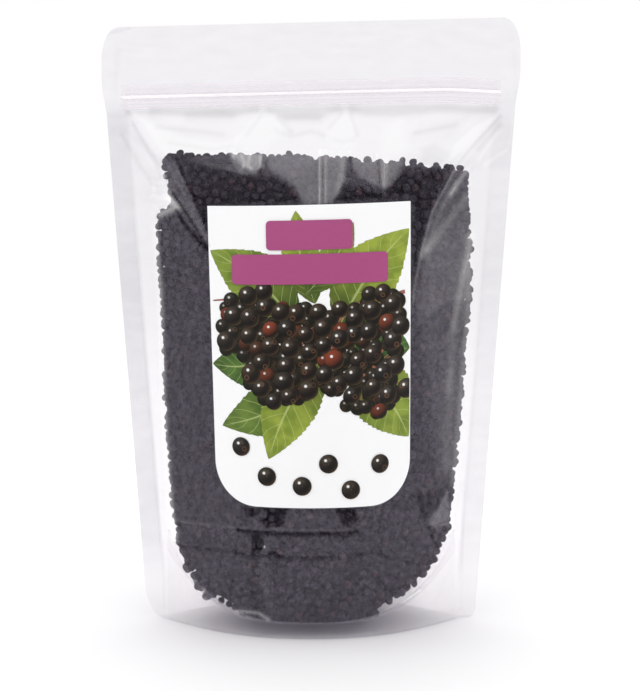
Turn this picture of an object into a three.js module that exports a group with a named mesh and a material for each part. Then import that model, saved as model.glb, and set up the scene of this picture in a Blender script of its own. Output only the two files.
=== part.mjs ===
import * as THREE from "three";

// A clear stand-up pouch, closed by a press-to-close zip and filled with dried elderberries.
// Millimetres, +Z up, the labelled front faces -Y. The origin is on the ground under the middle.
//
// The pouch is three pieces of film, as a real one is: a front panel, a back panel and a bottom
// gusset. The panels lie together in the side seals and in the header, and stand apart between
// them, round the berries. Between the panels lie the two strips of the zip. The label is a
// sticker on the front panel.

// Driving dimensions
const PANEL_WIDTH = 190;
const HEIGHT = 276.5;
const SEAL = 8;
const FILM = 0.4;
const GAP = 0.3;

// Where a filled pouch draws in: half widths at the base and at the shoulder under the zip
const BASE_HALF_WIDTH = 76.2;
const SHOULDER_HALF_WIDTH = 92.7;
const SHOULDER_Z = 234;
const FULL_WIDTH_Z = 252;
const CORNER_WIDE = 7.5;
const CORNER_TALL = 16;

// How far the contents push each panel out
const BELLY = 43.5;
const TOE_IN = 0.1;
const TOE_HEIGHT = 50;
const BULGE_TOP_Z = 238;
const CROWN_POWER = 2.2;

// The header leans up to the right by this slope, from none near the base
const LEAN = 0.0248;
const LEAN_FROM_Z = 40;
const LEAN_FULL_Z = 200;

// The zip
const ZIP_Z = 243.8;
const ZIP_BELOW = 5.8;
const ZIP_ABOVE = 5.7;
const ZIP_HALF_LENGTH = 82.5;
const ZIP_ROOM = 1.35;
const ZIP_ROOM_TOP_Z = 251;
const ZIP_ROOM_FADE = 11;

// The bottom gusset: its curved seal is lowest in the middle and meets the fold at the sides
const GUSSET_SEAL_Z = 8;
const GUSSET_RISE = 40;
const GUSSET_POWER = 3.3;
const GUSSET_HALF_WIDTH = 66.8;
const GUSSET_CHORD = 71;
const GUSSET_DIP = 8.6;

// The berries
const PILE_TOP_Z = 212.5;
const PILE_SLOPE = -0.072;
const PILE_INSET_LEFT = 7.5;
const PILE_INSET_RIGHT = 3.2;
const PILE_TAPER = 0.022;
const PILE_SHOULDER = 4;
const PILE_FOOT = 4;
const BERRY_RELIEF = 1.5;

// The label
const LABEL_WIDTH = 92.6;
const LABEL_HEIGHT = 136.5;
const LABEL_BOTTOM_Z = 61.5;
const LABEL_MIDDLE = 78;
const LABEL_CORNER = 20;
const LABEL_THICKNESS = 0.3;
const LABEL_SKEW = 0.016;

const { lerp, clamp } = THREE.MathUtils;
const smooth = (t) => THREE.MathUtils.smoothstep(t, 0, 1);

// Half the width of the pouch at height z, before its corners are rounded
function halfWidth(z) {
  const drawnIn = lerp(BASE_HALF_WIDTH, SHOULDER_HALF_WIDTH, Math.min(z / SHOULDER_Z, 1));
  const flare = smooth((z - SHOULDER_Z) / (FULL_WIDTH_Z - SHOULDER_Z));
  return lerp(drawnIn, PANEL_WIDTH / 2, flare);
}

// How much the rounded corners take off that
function cornerCut(z) {
  const t = 1 - Math.min(z, HEIGHT - z, CORNER_TALL) / CORNER_TALL;
  return CORNER_WIDE * (1 - Math.sqrt(1 - t * t));
}

// How far the middle of a panel stands out at height z
function bulge(z) {
  const t = clamp(z / BULGE_TOP_Z, 0, 1);
  const toe = 1 - TOE_IN * Math.max(0, 1 - z / TOE_HEIGHT) ** 2;
  return BELLY * toe * (1 - t ** 2.5) ** 0.75;
}

// Distance from the middle plane to the inside of a panel
function panelInner(x, z) {
  const u = Math.min(Math.abs(x) / (halfWidth(z) - SEAL), 1);
  const room = smooth((halfWidth(z) - Math.abs(x) - 6) / 4);
  const fade = 1 - smooth((z - ZIP_ROOM_TOP_Z) / ZIP_ROOM_FADE);
  return GAP / 2 + ZIP_ROOM * room * fade + bulge(z) * (1 - u ** CROWN_POWER);
}

// A layer of this thickness measured along Y, where the panel slopes
function slant(x, z) {
  const step = 0.5;
  const acrossX = (panelInner(x + step, z) - panelInner(x - step, z)) / (2 * step);
  const acrossZ = (panelInner(x, z + step) - panelInner(x, z - step)) / (2 * step);
  return Math.min(Math.hypot(1, acrossX, acrossZ), 2);
}

function panelOuter(x, z) {
  return panelInner(x, z) + FILM * slant(x, z);
}

// The lean of the header, which every piece follows
function leaned(x, y, z) {
  return new THREE.Vector3(x, y, z + x * LEAN * smooth((z - LEAN_FROM_Z) / (LEAN_FULL_Z - LEAN_FROM_Z)));
}

// A closed mesh from a list of triangles, each three points
function closedMesh(triangles) {
  const geometry = new THREE.BufferGeometry().setFromPoints(triangles.flat());
  geometry.computeVertexNormals();
  return geometry;
}

// Two triangles for each cell of a grid of points
function gridTriangles(grid, flip = false) {
  const triangles = [];
  for (let r = 0; r + 1 < grid.length; r++) {
    for (let c = 0; c + 1 < grid[r].length; c++) {
      const [a, b, d, e] = [grid[r][c], grid[r][c + 1], grid[r + 1][c + 1], grid[r + 1][c]];
      triangles.push(flip ? [a, d, b] : [a, b, d], flip ? [a, e, d] : [a, d, e]);
    }
  }
  return triangles;
}

// A thin closed sheet between two grids of points, near facing -Y and far facing +Y
function sheetBetween(near, far) {
  const rows = near.length - 1;
  const columns = near[0].length - 1;
  const left = near.map((row, r) => [far[r][0], row[0]]);
  const right = near.map((row, r) => [row[columns], far[r][columns]]);
  return closedMesh([
    ...gridTriangles(near),
    ...gridTriangles(far, true),
    ...gridTriangles(left),
    ...gridTriangles(right),
    ...gridTriangles([far[0], near[0]]),
    ...gridTriangles([near[rows], far[rows]]),
  ]);
}

// Heights of the rows of a panel: close together at the corners, the shoulder and the zip
function panelRows(bodyRows) {
  const body = Array.from({ length: bodyRows }, (_, i) => lerp(25, 214, i / (bodyRows - 1)));
  const corner = [0, 2.5, 6, 10, 16];
  return [...corner, ...body, 222, 228, 233, 236, 238, 244, 250.5, 256, 262]
    .concat(corner.map((z) => HEIGHT - z).reverse());
}

// Places across a panel at height z: the edge, the seal, its inner side, and even steps between
function panelColumns(z, steps) {
  const cut = cornerCut(z);
  const half = halfWidth(z);
  const edge = [cut, cut + (SEAL - cut) * 0.75, SEAL].map((d) => half - d);
  const inner = half - SEAL - 2;
  const middle = Array.from({ length: steps + 1 }, (_, i) => inner * ((2 * i) / steps - 1));
  return [...edge.map((x) => -x), ...middle, ...edge.reverse()];
}

// side is -1 for the front panel and 1 for the back one
function panel(side, bodyRows, steps) {
  const layer = (depthAt) =>
    panelRows(bodyRows).map((z) => panelColumns(z, steps).map((x) => leaned(x, side * depthAt(x, z), z)));
  const [inside, outside] = [layer(panelInner), layer(panelOuter)];
  return side < 0 ? sheetBetween(outside, inside) : sheetBetween(inside, outside);
}

// Height of the curved seal between gusset and panels
function gussetSeal(x) {
  return GUSSET_SEAL_Z + GUSSET_RISE * (Math.abs(x) / GUSSET_CHORD) ** GUSSET_POWER;
}

// Upper side of the gusset at a share v of its depth, -1 at the front panel and 1 at the back one.
// The weight of the berries presses the middle of it flat on the ground.
function gussetTop(x, v) {
  return Math.max(gussetSeal(x) - GUSSET_DIP * (1 - v * v), FILM);
}

// The gusset in one section across the pouch: up inside the front panel, over and down again
function gussetSection(x) {
  const seal = gussetSeal(x);
  const skirt = [0, 0.5, 1].map((t) => ({ y: -(panelInner(x, seal * t) - GAP), z: seal * t }));
  const depth = -skirt[2].y;
  const over = [-0.75, -0.5, -0.25, 0, 0.25, 0.5, 0.75].map((v) => ({ y: depth * v, z: gussetTop(x, v) }));
  const down = skirt.map(({ y, z }) => ({ y: -y, z })).reverse();
  return [...skirt, ...over, ...down];
}

// The same section moved in by the film's thickness, with mitred corners
function movedIn(section) {
  const side = (a, b) => {
    const length = Math.hypot(b.y - a.y, b.z - a.z);
    return { y: (b.z - a.z) / length, z: -(b.y - a.y) / length };
  };
  return section.map((p, i) => {
    const before = side(section[Math.max(i - 1, 0)], section[Math.max(i, 1)]);
    const after = side(section[Math.min(i, section.length - 2)], section[Math.min(i + 1, section.length - 1)]);
    const sum = { y: before.y + after.y, z: before.z + after.z };
    const mitre = (2 * FILM) / (sum.y ** 2 + sum.z ** 2);
    const atFloor = i === 0 || i === section.length - 1;
    return { y: p.y + sum.y * mitre, z: atFloor ? p.z : p.z + sum.z * mitre };
  });
}

function gusset() {
  const columns = 20;
  const across = Array.from({ length: columns + 1 }, (_, i) => GUSSET_HALF_WIDTH * ((2 * i) / columns - 1));
  const outer = across.map((x) => gussetSection(x).map((p) => leaned(x, p.y, p.z)));
  const inner = across.map((x) => movedIn(gussetSection(x)).map((p) => leaned(x, p.y, p.z)));
  return sheetBetween(inner, outer);
}

// Half the width of the pile of berries at height z, on the side with this inset from the seal
function pileHalfWidth(z, inset) {
  const shoulder = PILE_SHOULDER * smooth((z - 180) / 30);
  const foot = PILE_FOOT * smooth((62 - z) / 35);
  return halfWidth(z) - SEAL - inset - PILE_TAPER * z - shoulder - foot;
}

// Place across the pile at height z, from its share a of the width
function pileAcross(a, z) {
  return lerp(-pileHalfWidth(z, PILE_INSET_LEFT), pileHalfWidth(z, PILE_INSET_RIGHT), a);
}

// A point of the pile, from its shares of the width, depth and height
function pilePoint(a, b, c) {
  const v = 2 * b - 1;
  const place = (x) => {
    const bottom = gussetTop(x, v) + GAP + 0.2;
    const top = PILE_TOP_Z + PILE_SLOPE * x + 2 * (1 - (x / 70) ** 2) - 3 * v * v;
    return lerp(bottom, top, c);
  };
  const nominal = lerp(GUSSET_SEAL_Z + 8, PILE_TOP_Z, c);
  const x = pileAcross(a, place(pileAcross(a, nominal)));
  const z = place(x);
  const depth = panelInner(x, z) - GAP - 0.3 - BERRY_RELIEF;
  return new THREE.Vector3(x, v * depth, z);
}

// One face of the pile. Odd rows are set over by half a cell, so that every third point has six
// neighbours, and those points stand out as berries.
function pileFace(across, up, pointAt, outward) {
  const grid = [];
  for (let k = 0; k <= up; k++) {
    const row = [];
    for (let i = 0; i <= across; i++) {
      const onEdge = i === 0 || i === across || k === 0 || k === up;
      const shift = onEdge ? 0 : 0.5 * (k % 2);
      const point = pointAt((i + shift) / across, k / up);
      const isBerry = (((i - Math.floor(k / 2) - k) % 3) + 3) % 3 === 0;
      const relief = isBerry ? BERRY_RELIEF : 0;
      if (!onEdge) point.addScaledVector(outward, relief);
      row.push(leaned(point.x, point.y, point.z));
    }
    grid.push(row);
  }
  const triangles = [];
  for (let k = 0; k < up; k++) {
    for (let i = 0; i < across; i++) {
      const [a, b, d, e] = [grid[k][i], grid[k][i + 1], grid[k + 1][i + 1], grid[k + 1][i]];
      triangles.push(...(k % 2 ? [[a, b, d], [a, d, e]] : [[a, b, e], [b, d, e]]));
    }
  }
  return triangles;
}

function berries() {
  const [wide, deep, tall] = [30, 6, 48];
  const turned = (triangles) => triangles.map(([a, b, c]) => [a, c, b]);
  const along = (x, y, z) => new THREE.Vector3(x, y, z);
  return closedMesh([
    ...pileFace(wide, tall, (a, c) => pilePoint(a, 0, c), along(0, -1, 0)),
    ...turned(pileFace(wide, tall, (a, c) => pilePoint(a, 1, c), along(0, 1, 0))),
    ...turned(pileFace(deep, tall, (b, c) => pilePoint(0, b, c), along(-1, 0, 0))),
    ...pileFace(deep, tall, (b, c) => pilePoint(1, b, c), along(1, 0, 0)),
    ...turned(pileFace(wide, deep, (a, b) => pilePoint(a, b, 0), along(0, 0, 0))),
    ...pileFace(wide, deep, (a, b) => pilePoint(a, b, 1), along(0, 0, 1)),
  ]);
}

// A strip of the zip: its section, as pairs of y and height over ZIP_Z, drawn out along X
function zipStrip(section) {
  const shape = new THREE.Shape(section.map(([y, z]) => new THREE.Vector2(y, z)));
  const geometry = new THREE.ExtrudeGeometry(shape, { depth: 2 * ZIP_HALF_LENGTH, steps: 1, bevelEnabled: false });
  const position = geometry.attributes.position;
  for (let i = 0; i < position.count; i++) {
    const [y, z, along] = [position.getX(i), position.getY(i), position.getZ(i)];
    position.setXYZ(i, ...leaned(along - ZIP_HALF_LENGTH, y, ZIP_Z + z).toArray());
  }
  geometry.computeVertexNormals();
  return geometry;
}

// The rib has an arrow head, and the track has two hooks that close over it
const FLANGE = [0.8, 1.2];
const ribSection = [
  [-FLANGE[1], -ZIP_BELOW], [-FLANGE[0], -ZIP_BELOW], [-FLANGE[0], -0.4], [0.1, -0.4], [0.1, -0.8], [0.5, -0.3],
  [0.5, 0.3], [0.1, 0.8], [0.1, 0.4], [-FLANGE[0], 0.4], [-FLANGE[0], ZIP_ABOVE], [-FLANGE[1], ZIP_ABOVE],
];
const trackSection = [
  [FLANGE[1], -ZIP_BELOW], [FLANGE[1], ZIP_ABOVE], [FLANGE[0], ZIP_ABOVE], [FLANGE[0], 1.6], [-0.5, 1.6],
  [-0.5, 0.65], [-0.15, 0.65], [-0.15, 1.15], [FLANGE[0], 1.15], [FLANGE[0], -1.15], [-0.15, -1.15],
  [-0.15, -0.65], [-0.5, -0.65], [-0.5, -1.6], [FLANGE[0], -1.6], [FLANGE[0], -ZIP_BELOW],
];

// Height reached by going this far up the middle of the front panel from the label's foot
function climbed(distance) {
  const steps = 20;
  let z = LABEL_BOTTOM_Z;
  for (let i = 0; i < steps; i++) {
    const rise = bulge(z + 0.5) - bulge(z - 0.5);
    z += distance / steps / Math.hypot(1, rise);
  }
  return z;
}

// Place across the panel reached by going this far round it from the middle
function wrapped(distance, z) {
  const steps = 12;
  let x = 0;
  for (let i = 0; i < steps; i++) {
    const slope = panelInner(x + 0.5, z) - panelInner(x - 0.5, z);
    x += distance / steps / Math.hypot(1, slope);
  }
  return x;
}

function label() {
  const [columns, round] = [10, 6];
  const heights = Array.from({ length: round + 1 }, (_, i) => LABEL_CORNER * (1 - Math.cos((i / round) * (Math.PI / 2))));
  for (let t = LABEL_CORNER + 9; t < LABEL_HEIGHT - 4; t += 9.08) heights.push(t);
  heights.push(LABEL_HEIGHT);
  const layer = (lift) =>
    heights.map((t) => {
      const fromArc = Math.max(LABEL_CORNER - t, 0);
      const half = LABEL_WIDTH / 2 - LABEL_CORNER + Math.sqrt(LABEL_CORNER ** 2 - fromArc ** 2);
      return Array.from({ length: columns + 1 }, (_, i) => {
        const s = half * ((2 * i) / columns - 1) - LABEL_SKEW * (t - LABEL_MIDDLE);
        const z = climbed(t);
        const x = wrapped(s, z);
        return leaned(x, -(panelOuter(x, z) + lift * slant(x, z)), z);
      });
    });
  return sheetBetween(layer(GAP + LABEL_THICKNESS), layer(GAP));
}

// Materials
const clearFilm = new THREE.MeshStandardMaterial({
  color: 0xeeedf1, roughness: 0.08, metalness: 0, transparent: true, opacity: 0.25,
});
const zipPlastic = new THREE.MeshStandardMaterial({
  color: 0xf4f4f6, roughness: 0.25, metalness: 0, transparent: true, opacity: 0.45,
});
const driedBerry = new THREE.MeshStandardMaterial({ color: 0x231d26, roughness: 0.75, metalness: 0 });
const labelPaper = new THREE.MeshStandardMaterial({ color: 0xfdfdfd, roughness: 0.5, metalness: 0 });

function named(name, geometry, material) {
  const mesh = new THREE.Mesh(geometry, material);
  mesh.name = name;
  return mesh;
}

const pouch = new THREE.Group();
pouch.add(
  named("film_front", panel(-1, 17, 18), clearFilm),
  named("film_back", panel(1, 15, 16), clearFilm),
  named("film_gusset", gusset(), clearFilm),
  named("zip_rib", zipStrip(ribSection), zipPlastic),
  named("zip_track", zipStrip(trackSection), zipPlastic),
  named("berries", berries(), driedBerry),
  named("label", label(), labelPaper),
);

export default pouch;
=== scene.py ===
# %% [markdown]
# # A clear pouch of dried elderberries
# The CAD model gives the pouch its size and its solids: three pieces of film, two zip strips, the heap
# of berries and a label. This script keeps those places and gives each piece its looks. It works in
# millimetres as the real pouch is measured, and turns them into metres when it makes a mesh.

# %% Load the frame
import math
import random

import bmesh
import bpy
import numpy as np
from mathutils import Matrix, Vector


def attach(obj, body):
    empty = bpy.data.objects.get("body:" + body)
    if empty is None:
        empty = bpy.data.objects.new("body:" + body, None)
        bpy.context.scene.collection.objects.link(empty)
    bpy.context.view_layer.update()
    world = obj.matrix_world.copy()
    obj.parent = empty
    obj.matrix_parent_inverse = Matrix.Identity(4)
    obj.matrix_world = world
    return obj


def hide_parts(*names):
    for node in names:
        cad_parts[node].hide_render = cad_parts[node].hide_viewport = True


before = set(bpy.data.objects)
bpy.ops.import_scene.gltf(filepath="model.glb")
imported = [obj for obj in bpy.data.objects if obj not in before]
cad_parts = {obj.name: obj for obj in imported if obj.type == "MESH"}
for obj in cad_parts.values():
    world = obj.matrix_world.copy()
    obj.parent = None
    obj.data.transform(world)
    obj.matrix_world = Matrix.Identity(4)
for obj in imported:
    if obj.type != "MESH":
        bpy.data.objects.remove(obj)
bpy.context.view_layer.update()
MM = 0.001

# %% [markdown]
# ## The camera
# A product photograph is taken with a long lens from a little above, so that the sides of the pouch
# stay nearly parallel. The lens is worked out from how fast the pouch narrows in the picture.

# %% Camera
CAMERA_DISTANCE, CAMERA_RISE, CAMERA_AIM = 1400, math.radians(9), (4.1, 0, 128.4)
LENS, SENSOR = 158.5, 36


def make_camera():
    data = bpy.data.cameras.new("camera")
    data.lens, data.sensor_width = LENS, SENSOR
    camera = bpy.data.objects.new("camera", data)
    bpy.context.collection.objects.link(camera)
    x, y, z = CAMERA_AIM
    away, above = CAMERA_DISTANCE * math.cos(CAMERA_RISE), CAMERA_DISTANCE * math.sin(CAMERA_RISE)
    camera.location = (x * MM, (y - away) * MM, (z + above) * MM)
    camera.rotation_euler = (math.pi / 2 - CAMERA_RISE, 0, 0)
    bpy.context.scene.camera = camera


make_camera()

# %% [markdown]
# ## The form of the pouch
# A filled pouch isn't a free shape. Its panels are flat sheets, welded at the sides, that the berries
# push apart, so one formula for the distance between the middle plane and a panel gives the front, the
# back and all that touches them. Its values are the CAD model's. Only the right corner of the foot is
# drawn tighter further down, as in the picture.

# %% The pouch's formula
HEIGHT, SEAL, FILM, GAP = 276.5, 8.0, 0.4, 0.3
FOOT_HALF, SIDE_SPREAD, SIDE_TOP, HEADER_HALF = 76.2, 16.5, 234, 95
CORNER_RISE, CORNER_INSET = 16, 7.5
BULGE, BULGE_TOP, ZIP_ROOM, LEAN = 43.5, 238, 1.35, 0.0248


def smooth(t):
    t = np.clip(t, 0.0, 1.0)
    return t * t * (3 - 2 * t)


def band(z, low, rise, high, fall):
    return smooth((z - low) / rise) * (1 - smooth((z - high) / fall))


def half_width(z):
    side = FOOT_HALF + SIDE_SPREAD * np.minimum(z / SIDE_TOP, 1)
    return side + (HEADER_HALF - side) * smooth((z - SIDE_TOP) / 18)


def corner_cut(z):
    t = 1 - np.minimum(np.minimum(z, HEIGHT - z), CORNER_RISE) / CORNER_RISE
    return CORNER_INSET * (1 - np.sqrt(1 - t * t))


def bulge(z):
    t = np.clip(z / BULGE_TOP, 0, 1)
    toe = 1 - 0.1 * np.maximum(0, 1 - z / 50) ** 2
    return BULGE * toe * (1 - t**2.5) ** 0.75


def panel_inner(x, z):
    u = np.minimum(np.abs(x) / (half_width(z) - SEAL), 1)
    room = smooth((half_width(z) - np.abs(x) - 6) / 4) * (1 - smooth((z - 251) / 11))
    return GAP / 2 + ZIP_ROOM * room + bulge(z) * (1 - u**2.2)


def slant(x, z):
    across = panel_inner(x + 0.5, z) - panel_inner(x - 0.5, z)
    up = panel_inner(x, z + 0.5) - panel_inner(x, z - 0.5)
    return np.minimum(np.sqrt(1 + across**2 + up**2), 2.0)


def leaned(x, z):
    return z + x * LEAN * smooth((z - 40) / 160)


print("half depth at the middle of the front, mm:", round(float(panel_inner(0.0, 100.0)), 1))

# %% [markdown]
# ## One way to make every sheet
# Film, label and print are all sheets: a grid of points with a skin over it. Making the mesh from numpy
# arrays is quick even with a hundred thousand points. Each sheet carries a UV map that fills the unit
# square, and may carry numbers on its points that a material can read.

# %% Sheets of points
def mesh_from(name, points, faces):
    mesh = bpy.data.meshes.new(name)
    mesh.from_pydata((np.asarray(points) * MM).tolist(), [], faces)
    mesh.polygons.foreach_set("use_smooth", np.ones(len(mesh.polygons), dtype=bool))
    return mesh


def add_object(mesh, material, node=None):
    obj = bpy.data.objects.new(mesh.name, mesh)
    bpy.context.collection.objects.link(obj)
    mesh.materials.append(material)
    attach(obj, "root")
    if node:
        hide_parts(node)
    print(mesh.name, "has", len(mesh.polygons), "faces")


def grid_faces(rows, columns, flip=False):
    corner = (np.arange(rows - 1)[:, None] * columns + np.arange(columns - 1)).ravel()
    order = [0, columns, columns + 1, 1] if flip else [0, 1, columns + 1, columns]
    return corner[:, None] + np.array(order)


def set_uv(mesh, uv, name="OFBake"):
    point = np.zeros(len(mesh.loops), dtype=np.int32)
    mesh.loops.foreach_get("vertex_index", point)
    layer = mesh.uv_layers.new(name=name)
    layer.data.foreach_set("uv", np.asarray(uv, np.float32)[point].ravel())


def set_number(mesh, name, values):
    numbers = mesh.attributes.new(name, "FLOAT", "POINT")
    numbers.data.foreach_set("value", np.asarray(values, np.float32).ravel())


def sheet_mesh(name, x, y, z, flip=False, numbers=None):
    rows, columns = x.shape
    points = np.stack([x, y, z], -1).reshape(-1, 3)
    mesh = mesh_from(name, points, grid_faces(rows, columns, flip).tolist())
    u, v = np.meshgrid(np.linspace(0, 1, columns), np.linspace(0, 1, rows))
    set_uv(mesh, np.stack([u, v], -1).reshape(-1, 2))
    for key, values in (numbers or {}).items():
        set_number(mesh, key, values)
    return mesh


# %% [markdown]
# ## Shader maths as Python
# A material is a tree of nodes, but its sums are easier to read as sums. So a Number wraps what a node
# gives, and adds the Math node when two of them are added or multiplied. Nodes adds to any tree, and a
# Look is the tree of one material.

# %% Numbers in a material
class Number:
    def __init__(self, look, socket):
        self.look, self.socket = look, socket

    def sum(self, operation, other=None, swapped=False):
        values = [other, self] if swapped else [self, other]
        inputs = {place: value for place, value in enumerate(values) if value is not None}
        return self.look.node("Math", {"operation": operation}, inputs)

    def __add__(self, other):
        return self.sum("ADD", other)

    __radd__ = __add__

    def __sub__(self, other):
        return self.sum("SUBTRACT", other)

    def __rsub__(self, other):
        return self.sum("SUBTRACT", other, True)

    def __mul__(self, other):
        return self.sum("MULTIPLY", other)

    __rmul__ = __mul__

    def __pow__(self, other):
        return self.sum("POWER", other)

    def low(self, other):
        return self.sum("MINIMUM", other)

    def high(self, other):
        return self.sum("MAXIMUM", other)

    def step(self, start, end):
        inputs = {"Value": self, "From Min": start, "From Max": end}
        return self.look.node("MapRange", {"interpolation_type": "SMOOTHSTEP"}, inputs)

    def sibling(self, output):
        return Number(self.look, self.socket.node.outputs[output])


class Nodes:
    def __init__(self, tree):
        self.tree = tree

    def node(self, kind, settings=None, inputs=None, output=0):
        node = self.tree.nodes.new("ShaderNode" + kind)
        for key, value in (settings or {}).items():
            setattr(node, key, value)
        for key, value in (inputs or {}).items():
            self.join(value, node.inputs[key])
        return Number(self, node.outputs[output])

    def join(self, value, socket):
        if isinstance(value, Number):
            self.tree.links.new(value.socket, socket)
        else:
            socket.default_value = value


class Look(Nodes):
    def __init__(self, name):
        self.material = bpy.data.materials.new(name)
        self.material.use_nodes = True
        super().__init__(self.material.node_tree)
        self.shader = self.tree.nodes["Principled BSDF"]
        self.surface = Number(self, self.shader.outputs[0])

    def noise(self, size_mm, stretch=(1, 1, 1), detail=2.0):
        spot = self.node("TexCoord", output="Object")
        place = self.node("Mapping", {}, {"Vector": spot, "Scale": stretch})
        return self.node("TexNoise", {}, {"Vector": place, "Scale": 1000 / size_mm, "Detail": detail})

    def attribute(self, name):
        return self.node("Attribute", {"attribute_name": name}, output="Fac")

    def mix(self, share, first, second):
        settings = {"data_type": "RGBA", "clamp_factor": True}
        inputs = {0: share, 6: self.colour(first), 7: self.colour(second)}
        return self.node("Mix", settings, inputs, output=2)

    def colour(self, value):
        return value if isinstance(value, Number) else (*value, 1)

    def bump(self, height, strength, distance_mm):
        inputs = {"Height": height, "Strength": strength, "Distance": distance_mm * MM}
        return self.node("Bump", {}, inputs)

    def set(self, **values):
        for key, value in values.items():
            colour = key in ("Base_Color", "Emission_Color")
            self.join(self.colour(value) if colour else value, self.shader.inputs[key.replace("_", " ")])

    def blend(self, share, first, second):
        shown = self.node("MixShader", {}, {0: share, 1: first, 2: second})
        self.join(shown, self.tree.nodes["Material Output"].inputs["Surface"])


# %% [markdown]
# ## Clear film
# Film shows what is behind it, and adds a little milk and a little shine of its own. So the material is
# a mix of nothing at all, the Transparent shader, and a pale plastic. Three numbers on each point of the
# film steer it. Haze is the share of plastic, which also rises where the film is seen edge on. Milk turns
# that plastic from a grey mirror of the room into white: partly the white that a crease scatters, partly
# painted glare, highlights of the lamps painted on the film, which also glow a little. Below nought it
# turns it into a darker grey, a painted reflection of darker surroundings. Touch is where the film lies
# on the berries, which mottle it.

# %% Film material
CLEAR = (0.999, 0.995, 0.998)
# The milk white is partly painted glare. The darker grey is a painted reflection of darker surroundings, and
# the glow is painted light.
GREY_FILM, PAINTED_SHADE_GREY, MILK_AND_GLARE_WHITE = (0.53, 0.49, 0.595), (0.20, 0.18, 0.215), (0.97, 0.966, 0.95)
PAINTED_GLOW = (0.20, 0.194, 0.196)
MOST_HAZE, EDGE_HAZE, MOTTLING, GRAIN = 0.97, 0.55, 0.5, 0.3


def make_film(name, streak_mm, stretch, streak):
    film = Look(name)
    haze, milk, touch = (film.attribute(key) for key in ("haze", "milk", "touch"))
    white, painted_shade = milk.high(0.0), (0 - milk).high(0.0)
    streaks = 1 - streak + 2 * streak * film.noise(streak_mm, stretch)
    mottled = 1 + touch * (film.noise(2.1, detail=1.0).step(0.36, 0.66) - 0.5) * MOTTLING
    grainy = 1 + white * (film.noise(1.3, (1, 1, 0.35), detail=3.0) - 0.5) * GRAIN
    edge_on = film.node("LayerWeight", {}, {"Blend": 0.5}, output="Facing") ** 5.0
    share = haze * (streaks * mottled * grainy) + EDGE_HAZE * edge_on * (1 - 0.75 * white)
    # Above nought the base colour is the milk white, partly painted glare; below nought it is the painted
    # darker reflection.
    film.set(Base_Color=film.mix(white, film.mix(painted_shade, GREY_FILM, PAINTED_SHADE_GREY), MILK_AND_GLARE_WHITE))
    film.set(Metallic=0.42 * (1 - white), Roughness=0.11 + 0.25 * white, Specular_IOR_Level=0.5)
    # Where milk is above nought the film glows a little: painted light, in place of light that comes through
    # from behind.
    film.set(Emission_Color=film.mix(white, (0, 0, 0), PAINTED_GLOW), Emission_Strength=1.0)
    film.set(Normal=film.bump(film.noise(9.0), 0.35, 0.5))
    clear = film.node("BsdfTransparent", {}, {"Color": (*CLEAR, 1)})
    film.blend(share.low(MOST_HAZE), clear, film.surface)
    return film.material


film_material = make_film("clear_film", 5.0, (0.4, 1, 1), 0.22)

# %% [markdown]
# ## Creases, tents and glare
# The front isn't a smooth belly. Under the zip the film is pinched into small tents, and at the
# shoulders it folds into facets that run down to the label. Each fold is a line on the panel with a
# ridge or a furrow along it. Where the film stands off the berries it looks milky, and where it is
# pressed on them it looks clear, so the haze is drawn in the same way, with lines and patches. The
# glare is painted too: lines and patches of milk lay painted highlights of the lamps on the folds, and
# darker painted reflections of the room where milk falls below nought.

# %% Lines and patches on a panel
def line_distance(x, z, line):
    best = np.full(np.shape(x), 1e9)
    for (x0, z0), (x1, z1) in zip(line, line[1:]):
        dx, dz = x1 - x0, z1 - z0
        t = np.clip(((x - x0) * dx + (z - z0) * dz) / (dx * dx + dz * dz), 0, 1)
        best = np.minimum(best, np.hypot(x - x0 - t * dx, z - z0 - t * dz))
    return best


def inside(x, z, outline, soft):
    ring = outline + outline[:1]
    odd = np.zeros(np.shape(x), dtype=bool)
    for (x0, z0), (x1, z1) in zip(ring, ring[1:]):
        crosses = (z0 > z) != (z1 > z)
        odd ^= crosses & (x < (x1 - x0) * (z - z0) / (z1 - z0 + 1e-9) + x0)
    distance = line_distance(x, z, ring) * np.where(odd, 1, -1)
    return smooth(0.5 + distance / (2 * soft))


def ridge(x, z, line, height, width):
    return height * np.exp(-((line_distance(x, z, line) / width) ** 2))


# %% The folds of the front panel
FOLD_RIGHT = [(85.9, 231), (65.2, 211), (53.8, 189), (49.6, 174.5), (46.4, 160)]
TENTS, TENT_HEIGHT = [(-20.9, 237), (15.4, 236.5)], 2.4
PLEATS, PLEAT_HEIGHT = (4.0, 6.3, 13.5, 18.0, 30.5), 0.35
# Each ridge is its points, its height and its width. A furrow has a height below nought.
RIDGES = [
    # the left shoulder
    ([(-83.5, 239), (-66.2, 203), (-46.5, 179)], 0.9, 2.2),
    ([(-80, 236), (-64.8, 217), (-50, 192), (-46, 186)], -0.9, 2),
    ([(-62, 196), (-46.5, 178)], 0.7, 1.2),
    # the right shoulder
    (FOLD_RIGHT, -1.1, 2.4),
    ([(80, 226), (72, 212.8), (59.3, 197.8), (52.8, 180.5)], 0.8, 2.6),
    ([(71.3, 192.5), (58.4, 180), (51, 168.6)], 0.6, 2.6),
    # the creases under the label
    ([(-62, 48.4), (-32, 50.4), (-5, 50.6), (21, 50)], -0.8, 1.1),
    ([(-59, 37.1), (-44, 39.4), (-27.6, 38.3), (13, 38.9)], -0.5, 1),
    ([(18.5, 40), (28.9, 39.1), (40.5, 34.3), (59.4, 29.4)], -0.5, 1),
    ([(30.4, 28.7), (30.8, 24.3), (33.6, 21.6), (41.5, 21.3)], -0.6, 1.2),
    ([(46, 64), (53, 50.4), (57.2, 57.5), (59.1, 64.1)], -0.8, 1.4),
    ([(53.5, 47.4), (64, 48.8)], -0.6, 1),
    ([(-24, 36.8), (-23.5, 22.7), (-20, 12.5)], -0.9, 2.6),
]


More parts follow.
